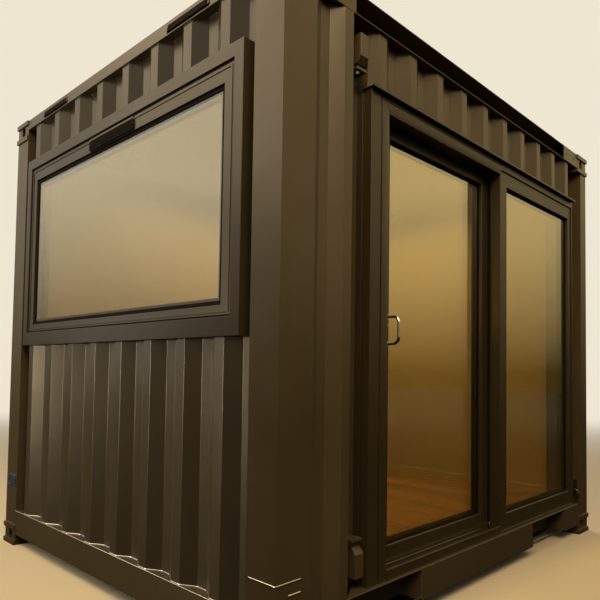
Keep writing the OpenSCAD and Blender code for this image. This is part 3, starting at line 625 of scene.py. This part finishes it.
def levelBead(nodeName, height, part, settings):   # round a node at one height
    work = cleanCopy(nodeName, edgeSet)
    everything = work.verts[:] + work.edges[:] + work.faces[:]
    bmesh.ops.bisect_plane(work, geom=everything, plane_co=(0, 0, height), plane_no=(0, 0, 1),
                           clear_inner=True, clear_outer=True)
    beadFrom(camelName(nodeName) + part, work, settings, bodyOf[nodeName])


def straightBeads(name, lines, settings, body):
    work = bmesh.new()
    for ends in lines:
        work.edges.new([work.verts.new(end) for end in ends])
    beadFrom(name, work, settings, body)


seamSet = {
    "in": 0.001,            # a bead's middle from the edge that it closes
    # the bare joint round the near post: its height and its reach over both faces from the corner
    "ring": {"height": 0.345, "windowSide": 0.146, "doorSide": 0.130},
    "dash": {"height": 0.300, "from": 0.070, "to": 0.129, "radius": 0.004},
    "walls": ["end_wall_left", "end_wall_right", "back_wall", "front_panel_top"],
    "bareFeet": ["end_wall_left"],
    "posts": ["corner_post_front_left", "corner_post_front_right", "corner_post_back_left",
              "corner_post_back_right"],
    "casting": (0.178, 0.162, 0.118),   # a corner casting's length, width and height
    "lip": 0.008,           # how far the castings stand out over the posts and rails
}


def makeWelds(settings, beads, bareBeads):
    reachX, reachY, tall = settings["casting"]
    for nodeName in settings["walls"]:
        low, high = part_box(nodeName)
        footBeads = bareBeads if nodeName in settings["bareFeet"] else beads
        levelBead(nodeName, low[2] + settings["in"], "FootWeld", footBeads)
        levelBead(nodeName, high[2] - settings["in"], "TopWeld", beads)
    for nodeName in settings["posts"]:
        low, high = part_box(nodeName)
        levelBead(nodeName, low[2] + tall + settings["in"], "LowWeld", beads)
        levelBead(nodeName, high[2] - tall - settings["in"], "HighWeld", beads)
    left, front = cadBox[0][0], cadBox[0][1]
    x, y = left + settings["lip"], front + settings["lip"]
    post = bodyOf["corner_post_front_left"]
    ring, dash = settings["ring"], settings["dash"]
    corner = (x, y, ring["height"])
    straightBeads("postRingWeld", [((x, front + ring["windowSide"], ring["height"]), corner),
                                   (corner, (left + ring["doorSide"], y, ring["height"]))],
                  bareBeads, post)
    straightBeads("postDashWeld", [((left + dash["from"], y, dash["height"]),
                                    (left + dash["to"], y, dash["height"]))],
                  {**bareBeads, "radius": dash["radius"]}, post)
    low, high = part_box("bottom_rail_left")
    x, z = low[0] + settings["in"], high[2] - settings["in"]
    straightBeads("leftRailEdgeWeld", [((x, low[1], z), (x, high[1], z))],
                  bareBeads, bodyOf["bottom_rail_left"])
    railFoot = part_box("bottom_rail_front")[0][2]
    lines = []
    for x, inX in ((cadBox[0][0], 1), (cadBox[1][0], -1)):
        for y, inY in ((cadBox[0][1], 1), (cadBox[1][1], -1)):
            for side in ((x + inX * reachX, y + inY * settings["lip"]),
                         (x + inX * settings["lip"], y + inY * reachY)):
                lines.append(((*side, railFoot), (*side, tall)))
    straightBeads("railEndWelds", lines, beads, bodyOf["bottom_rail_front"])


makeWelds(seamSet, beadSet, bareBeadSet)
print("weld beads made")

# Door pull fittings: a rosette under each arm, and a key cylinder between them whose slit is a thin black plate of
# painted shade
pullSet = {
    "bar": 0.014,
    "rosette": (0.014, 0.004),      # radius and depth, as for the cylinder
    "cylinder": (0.0085, 0.003),
    "keyUp": 0.024,                 # from the middle of the pull to the middle of the cylinder
    "keyway": (0.0015, 0.0002),     # width and depth
    "keyReach": (0.005, 0.004),     # down and up from the middle of the cylinder
    "edge": 0.0008,
}


def makePullFittings(settings):
    low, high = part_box("door_pull")
    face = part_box("sliding_leaf_frame")[0][1]
    x = (low[0] + high[0]) / 2
    keyZ = (low[2] + high[2]) / 2 + settings["keyUp"]
    work = bmesh.new()
    for z in (low[2] + settings["bar"] / 2, high[2] - settings["bar"] / 2):
        addDrum(work, (x, face, z), *settings["rosette"], "y", 40)
    addDrum(work, (x, face, keyZ), *settings["cylinder"], "y")
    addPiece("pullRosettes", work, "stainless", "sliding_leaf", rounding=settings["edge"])
    # the key slit: a thin black plate, painted shade in the place of a cut slot
    slit = bmesh.new()
    wide, deep = settings["keyway"]
    down, up = settings["keyReach"]
    front = face - settings["cylinder"][1]
    addBlock(slit, (x - wide / 2, front - deep, keyZ - down), (x + wide / 2, front, keyZ + up))
    addPiece("keyway", slit, "gasket_rubber", "sliding_leaf")


def addPlate(work, low, high, corner):   # a block whose corners are rounded as seen along X
    made = addBlock(work, low, high)
    across = [edge for edge in work.edges if edge.verts[0] in made and edge.verts[1] in made
              and edge.verts[0].co.x != edge.verts[1].co.x]
    bmesh.ops.bevel(work, geom=across, offset=corner, offset_type="OFFSET", segments=5,
                    profile=0.5, affect="EDGES", clamp_overlap=True, material=-1)


# Power inlet: a rounded flange, a sprung lid with its catch, a bright hinge pin and four screws
inletSet = {
    "proud": 0.003,             # how far the catch stands out over the flange
    "corner": 0.010,
    "lid": (0.078, 0.046),      # width and height, as for the pin and the catch
    "lidIn": 0.0004,            # behind the face of the catch
    "lidCorner": 0.018,
    "lidUp": -0.004,
    "pin": (0.066, 0.005),
    "pinIn": 0.0002,
    "pinUp": 0.001,             # over the top of the lid
    "catch": (0.022, 0.006),
    "screw": (0.003, 0.0018),   # radius and depth
    "screwTop": 0.7,            # share of the radius at the top of the head
    "screwIn": 0.009,
    "edge": 0.0008,
}


def makeInlet(settings):
    low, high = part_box("power_inlet")
    plateFace = low[0] + settings["proud"]
    body = bodyOf["power_inlet"]
    y, z = (low[1] + high[1]) / 2, (low[2] + high[2]) / 2 + settings["lidUp"]
    wide, tall = settings["lid"]
    work = bmesh.new()
    addPlate(work, (plateFace, low[1], low[2]), high, settings["corner"])
    addPlate(work, (low[0] + settings["lidIn"], y - wide / 2, z - tall / 2),
             (plateFace, y + wide / 2, z + tall / 2), settings["lidCorner"])
    catchWide, catchTall = settings["catch"]
    addBlock(work, (low[0], y - catchWide / 2, z - tall / 2 - catchTall),
             (plateFace, y + catchWide / 2, z - tall / 2 + catchTall))
    addPiece("powerInlet", work, "inlet_plastic", body, ["power_inlet"], settings["edge"])
    bright = bmesh.new()
    pinWide, pinTall = settings["pin"]
    pinFoot = z + tall / 2 + settings["pinUp"]
    addPlate(bright, (low[0] + settings["pinIn"], y - pinWide / 2, pinFoot),
             (plateFace, y + pinWide / 2, pinFoot + pinTall), pinTall / 2)
    radius, deep = settings["screw"]
    for screwY in (low[1] + settings["screwIn"], high[1] - settings["screwIn"]):
        for screwZ in (low[2] + settings["screwIn"], high[2] - settings["screwIn"]):
            addDrum(bright, (plateFace, screwY, screwZ), radius, deep, "x", 20,
                    radius * settings["screwTop"])
    addPiece("inletMetal", bright, "stainless", body)


# Window grip: a black plate over the recess of the sash, painted shade for the dark of the recess, under a bright
# strip
gripSet = {
    "long": 0.440,
    "lip": 0.006,               # from the foremost edge of the sash back to its face
    "proud": 0.0006,
    "grip": (0.074, 0.022),     # its foot and its top, down from the top of the sash
    "corner": 0.014,
    "gripEdge": 0.002,
    "strip": (0.020, 0.010),    # as for the grip
    "stripIn": 0.005,
    "stripEdge": 0.0015,
}


def makeWindowGrip(settings):
    low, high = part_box("window_sash")
    face = low[0] + settings["lip"]
    body = bodyOf["window_sash"]
    y, reach = (low[1] + high[1]) / 2, settings["long"] / 2
    # the black plate is painted shade in the place of the recess
    grip = bmesh.new()
    addPlate(grip, (low[0] - settings["proud"], y - reach, high[2] - settings["grip"][0]),
             (face, y + reach, high[2] - settings["grip"][1]), settings["corner"])
    addPiece("windowGrip", grip, "gasket_rubber", body, rounding=settings["gripEdge"])
    strip = bmesh.new()
    reach -= settings["stripIn"]
    addBlock(strip, (low[0], y - reach, high[2] - settings["strip"][0]),
             (face, y + reach, high[2] - settings["strip"][1]))
    addPiece("windowGripStrip", strip, "steel_paint", body, rounding=settings["stripEdge"])


# The joint of sash and surround: a dark gap seal and inside it a raised bead, both as rings
jointSet = {
    "seal": (0.003, 0.008),     # how far it covers outside and inside the edge of the sash
    "sealDeep": 0.0012,
    "bead": (0.016, 0.009),     # how far in it starts, and its width
    "beadDeep": 0.003,
    "edge": 0.001,
}


def makeSashJoint(settings):
    low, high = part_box("window_sash")
    face = low[0] + gripSet["lip"]
    rings = [("windowGapSeal", "gasket_rubber", -settings["seal"][0], sum(settings["seal"]),
              settings["sealDeep"]),
             ("windowSashBead", "profile_paint", *settings["bead"], settings["beadDeep"])]
    for name, slot, start, width, deep in rings:
        work = bmesh.new()
        addRing(work, (face - deep, low[1] + start, low[2] + start),
                (face, high[1] - start, high[2] - start), 0, width)
        addPiece(name, work, slot, bodyOf["window_sash"], rounding=settings["edge"])


# Black sheet on the slope of the two hoods in the rail above the window: painted shade for the dark of their mouths
hoodSet = {
    "starts": (0.446, 1.738),   # from the door side of the box
    "long": 0.304,
    "in": 0.008,
    "top": 0.044,               # of the flap, over the foot of the rail
    "tilt": 10,                 # degrees
    "mesh": (0.0323, 0.003),    # the painted shade's foot and its top, down the flap
    "thick": 0.0012,
}


def makeHoodMouthShade(settings):
    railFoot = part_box("top_rail_left")[0][2]
    flapTop = (cadBox[0][0] + seamSet["lip"], 0, railFoot + settings["top"])
    slope = Matrix.Rotation(math.radians(settings["tilt"]), 4, "Y")
    foot, top = settings["mesh"]
    work = bmesh.new()
    for start in settings["starts"]:
        y = cadBox[0][1] + start
        # each block is a black sheet of painted shade on the flap
        made = addBlock(work, (-settings["thick"], y + settings["in"], -foot),
                        (0, y + settings["long"] - settings["in"], -top))
        bmesh.ops.transform(work, verts=made, matrix=Matrix.Translation(flapTop) @ slope)
    addPiece("hoodMesh", work, "gasket_rubber", bodyOf["top_rail_left"])


# Door track: a dark facing under the bright top edge of the front rail, a painted reflection of the dark surroundings
# that the aluminium face mirrors, and a bright cap on it
trackSet = {"tall": 0.017, "line": 0.003, "deep": 0.006, "facing": 0.001, "cap": 0.0008}


def makeTrackTrim(settings):
    low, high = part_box("door_track")
    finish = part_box("fixed_leaf_frame")[0][0]
    top = low[2] + settings["tall"]
    # the dark facing: painted reflection laid over the aluminium face
    facing = bmesh.new()
    addBlock(facing, (low[0], low[1] - settings["facing"], low[2]),
             (finish, low[1], top - settings["line"]))
    addPiece("trackFacing", facing, "profile_paint", bodyOf["door_track"])
    cap = bmesh.new()
    addBlock(cap, (low[0], low[1], top),
             (high[0], low[1] + settings["deep"], top + settings["cap"]))
    addPiece("trackCap", cap, "stainless", bodyOf["door_track"])


# Seals that close the gaps round the leaves: the leaf never touches them at its limits
sealSet = {
    "play": 0.0006,       # left free between a seal and the sliding leaf
    "jambGap": 0.006,
    "jambIn": 0.010,      # from the face of the sliding leaf
    "meetIn": 0.006,      # from the edge of the fixed leaf
    "brush": 0.009,
    "foot": 0.002,        # over the track
    "edge": 0.001,
}


def makeDoorSeals(settings):
    leafLow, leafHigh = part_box("sliding_leaf_frame")
    fixedLow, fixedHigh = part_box("fixed_leaf_frame")
    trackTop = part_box("door_track")[1][2]
    jambY, meetX = leafLow[1] + settings["jambIn"], fixedLow[0] + settings["meetIn"]
    work = bmesh.new()
    addBlock(work, (leafLow[0] - settings["jambGap"], jambY, leafLow[2]),
             (leafLow[0] - settings["play"], jambY + settings["brush"], leafHigh[2]))
    addBlock(work, (meetX, fixedHigh[1], trackTop + settings["foot"]),
             (meetX + settings["brush"], leafLow[1] - settings["play"], leafHigh[2]))
    addPiece("doorSeals", work, "gasket_rubber", bodyOf["door_jamb_left"],
             rounding=settings["edge"])


makePullFittings(pullSet)
makeInlet(inletSet)
makeWindowGrip(gripSet)
makeSashJoint(jointSet)
makeHoodMouthShade(hoodSet)
makeTrackTrim(trackSet)
makeDoorSeals(sealSet)
print("fittings made")

# Plain pale floor and soft studio light
stageSet = {
    "floor": "#e6dcc6",
    "floorShade": "#382a16",     # what the floor gives back to the object
    "size": 60,
    "fade": (4.0, 13.0),         # metres from the middle over which the floor turns to backdrop
    "sky": "#efe6d2",
    "fill": 0.13,                # strength of the sky as light on the object
    "throughGlass": 0.14,        # share of the pale floor that glass shows
    "mirrorLow": "#524221",      # what glass and paint mirror near the horizon
    "mirrorDoor": "#ffe4a8",     # overhead before the door side
    "mirrorWindow": "#fff4dc",   # and overhead before the window end
    "mirrorTop": 0.3,            # upward share of a direction where the overhead colours are full
    "mirrorTurn": 0.3,           # sideways share where each of the two stands alone
}


def makeStudioFloor(settings):
    mesh = bpy.data.meshes.new("studioFloor")
    work = bmesh.new()
    bmesh.ops.create_grid(work, x_segments=1, y_segments=1, size=settings["size"] / 2)
    work.to_mesh(mesh)
    work.free()
    floor = bpy.data.objects.new("studioFloor", mesh)
    bpy.context.scene.collection.objects.link(floor)
    material, tree, shader, place = newMaterial("paperFloor", {
        "Roughness": 0.9, "Specular IOR Level": 0.0})
    ray = addNode(tree, "LightPath")
    direct = addNode(tree, "Math", {"operation": "MULTIPLY_ADD", "use_clamp": True,
                                    1: settings["throughGlass"]},
                     {0: ray.outputs["Is Transmission Ray"], 2: ray.outputs["Is Camera Ray"]})
    seen = addNode(tree, "Mix", {"data_type": "RGBA", 6: hexColor(settings["floorShade"]),
                                 7: hexColor(settings["floor"])}, {0: direct.outputs["Value"]})
    tree.links.new(seen.outputs[2], shader.inputs["Base Color"])
    start, finish = settings["fade"]
    far = addNode(tree, "VectorMath", {"operation": "LENGTH"}, {0: place})
    fade = addNode(tree, "MapRange", {"From Min": start, "From Max": finish,
                                      "interpolation_type": "SMOOTHSTEP"},
                   {"Value": far.outputs["Value"]})
    paper = addNode(tree, "Emission", {"Color": hexColor(settings["sky"])})
    faded = addNode(tree, "Math", {"operation": "MULTIPLY"},
                    {0: fade.outputs["Result"], 1: direct.outputs["Value"]})
    mix = addNode(tree, "MixShader", links={"Fac": faded.outputs["Value"],
                                            1: shader.outputs[0], 2: paper.outputs[0]})
    tree.links.new(mix.outputs[0], tree.nodes["Material Output"].inputs["Surface"])
    mesh.materials.append(material)


def makeSoftWorld(settings):
    world = bpy.data.worlds.new("softWorld")
    world.use_nodes = True
    bpy.context.scene.world = world
    tree = world.node_tree
    backdrop = tree.nodes["Background"]
    ray = addNode(tree, "LightPath")
    direction = addNode(tree, "TexCoord").outputs["Generated"]
    parts = addNode(tree, "SeparateXYZ", links={"Vector": direction})
    turn = settings["mirrorTurn"]
    side = addNode(tree, "MapRange", {"From Min": turn, "From Max": -turn},
                   {"Value": parts.outputs["X"]})
    overhead = addNode(tree, "Mix", {"data_type": "RGBA", 6: hexColor(settings["mirrorDoor"]),
                                     7: hexColor(settings["mirrorWindow"])},
                       {0: side.outputs["Result"]})
    high = addNode(tree, "MapRange", {"From Max": settings["mirrorTop"]},
                   {"Value": parts.outputs["Z"]})
    mirrored = addNode(tree, "Mix", {"data_type": "RGBA", 6: hexColor(settings["mirrorLow"])},
                       {0: high.outputs["Result"], 7: overhead.outputs[2]})
    shown = addNode(tree, "Mix", {"data_type": "RGBA", 6: hexColor(settings["sky"])},
                    {0: ray.outputs["Is Glossy Ray"], 7: mirrored.outputs[2]})
    tree.links.new(shown.outputs[2], backdrop.inputs["Color"])
    strength = addNode(tree, "MapRange", {"To Min": 1.0, "To Max": settings["fill"]},
                       {"Value": ray.outputs["Is Diffuse Ray"]})
    tree.links.new(strength.outputs["Result"], backdrop.inputs["Strength"])


def addLamp(name, place, target, size, power, color, gives):
    data = bpy.data.lights.new(name, "AREA")
    data.shape = "RECTANGLE"
    data.size, data.size_y = size
    data.energy = power
    data.color = hexColor(color)[:3]
    lamp = bpy.data.objects.new(name, data)
    bpy.context.scene.collection.objects.link(lamp)
    lamp.location = place
    lamp.rotation_mode = "QUATERNION"
    lamp.rotation_quaternion = (Vector(target) - Vector(place)).to_track_quat("-Z", "Y")
    lamp.visible_camera = False
    lamp.visible_diffuse = gives != "sheen"
    lamp.visible_glossy = gives != "soft"
    return lamp


# Each lamp: place, target, size, watts, colour, what it gives (sheen, soft light or both) and
# the pieces that it skips. The corrugated window end is lit from its far left, so doorPanel
# skips it.
lampSet = [
    ("doorPanel", (-3.3, -3.8, 5.1), (0.3, -1.1, 1.6), (3.0, 3.0), 265, "#ffdda6", "both",
     ["endWallLeft"]),
    ("cornerPanel", (-4.2, -3.4, 3.6), (-1.0, -0.6, 1.2), (2.6, 2.6), 20, "#ffe4bc", "both",
     ["cornerPostFrontLeft"]),
    ("windowPanel", (-4.6, 2.5, 4.8), (-1.3, -0.1, 1.7), (3.4, 3.4), 92, "#ffe2b4", "both", []),
    ("lowDaylight", (-3.5, 3.5, 1.7), (-1.5, 0.6, 1.3), (0.7, 1.6), 6, "#f6f2e6", "both", []),
    ("windowSoft", (-5.0, 1.9, 1.2), (-1.5, 0.1, 0.9), (2.4, 1.4), 48, "#f6efd4", "soft",
     ["cornerPostFrontLeft", "windowSurround", "windowSash", "windowSashBead"]),
    ("lowGlow", (-8.0, 3.2, 1.1), (-1.5, 0.1, 1.0), (0.6, 1.5), 470, "#ffe2b6", "sheen",
     ["cornerPostFrontLeft", "windowGlassSpacer", "windowGlassBead", "windowSurround",
      "windowGrip"]),
    ("headGlow", (-3.7, -4.8, 4.9), (-0.9, -1.2, 2.4), (0.6, 0.6), 60, "#ffe6bc", "sheen",
     ["endWallLeft", "fixedLeafFrame"]),
    ("roomLamp", (0.1, 0.1, 2.32), (0.1, 0.1, 0), (2.0, 1.4), 44, "#fff0c8", "both", []),
    ("backPanel", (4.4, 4.6, 4.2), (0.7, 0.7, 1.2), (3.6, 3.6), 210, "#ffeacc", "both", []),
]


# A lamp skips the panes, which would mirror its hard outline, and the pieces named with it
def skipPieces(lamp, pieces):
    skipped = bpy.data.collections.new(lamp.name + "Skips")
    for piece in pieces:
        skipped.objects.link(piece)
    for member in skipped.collection_objects:
        member.light_linking.link_state = "EXCLUDE"
    lamp.light_linking.receiver_collection = skipped


makeStudioFloor(stageSet)
makeSoftWorld(stageSet)
for *lampFacts, skippedNames in lampSet:
    skipPieces(addLamp(*lampFacts),
               glassPieces + [bpy.data.objects[name] for name in skippedNames])
print("stage and lamps set")

bpy.context.scene.view_settings.view_transform = "Standard"
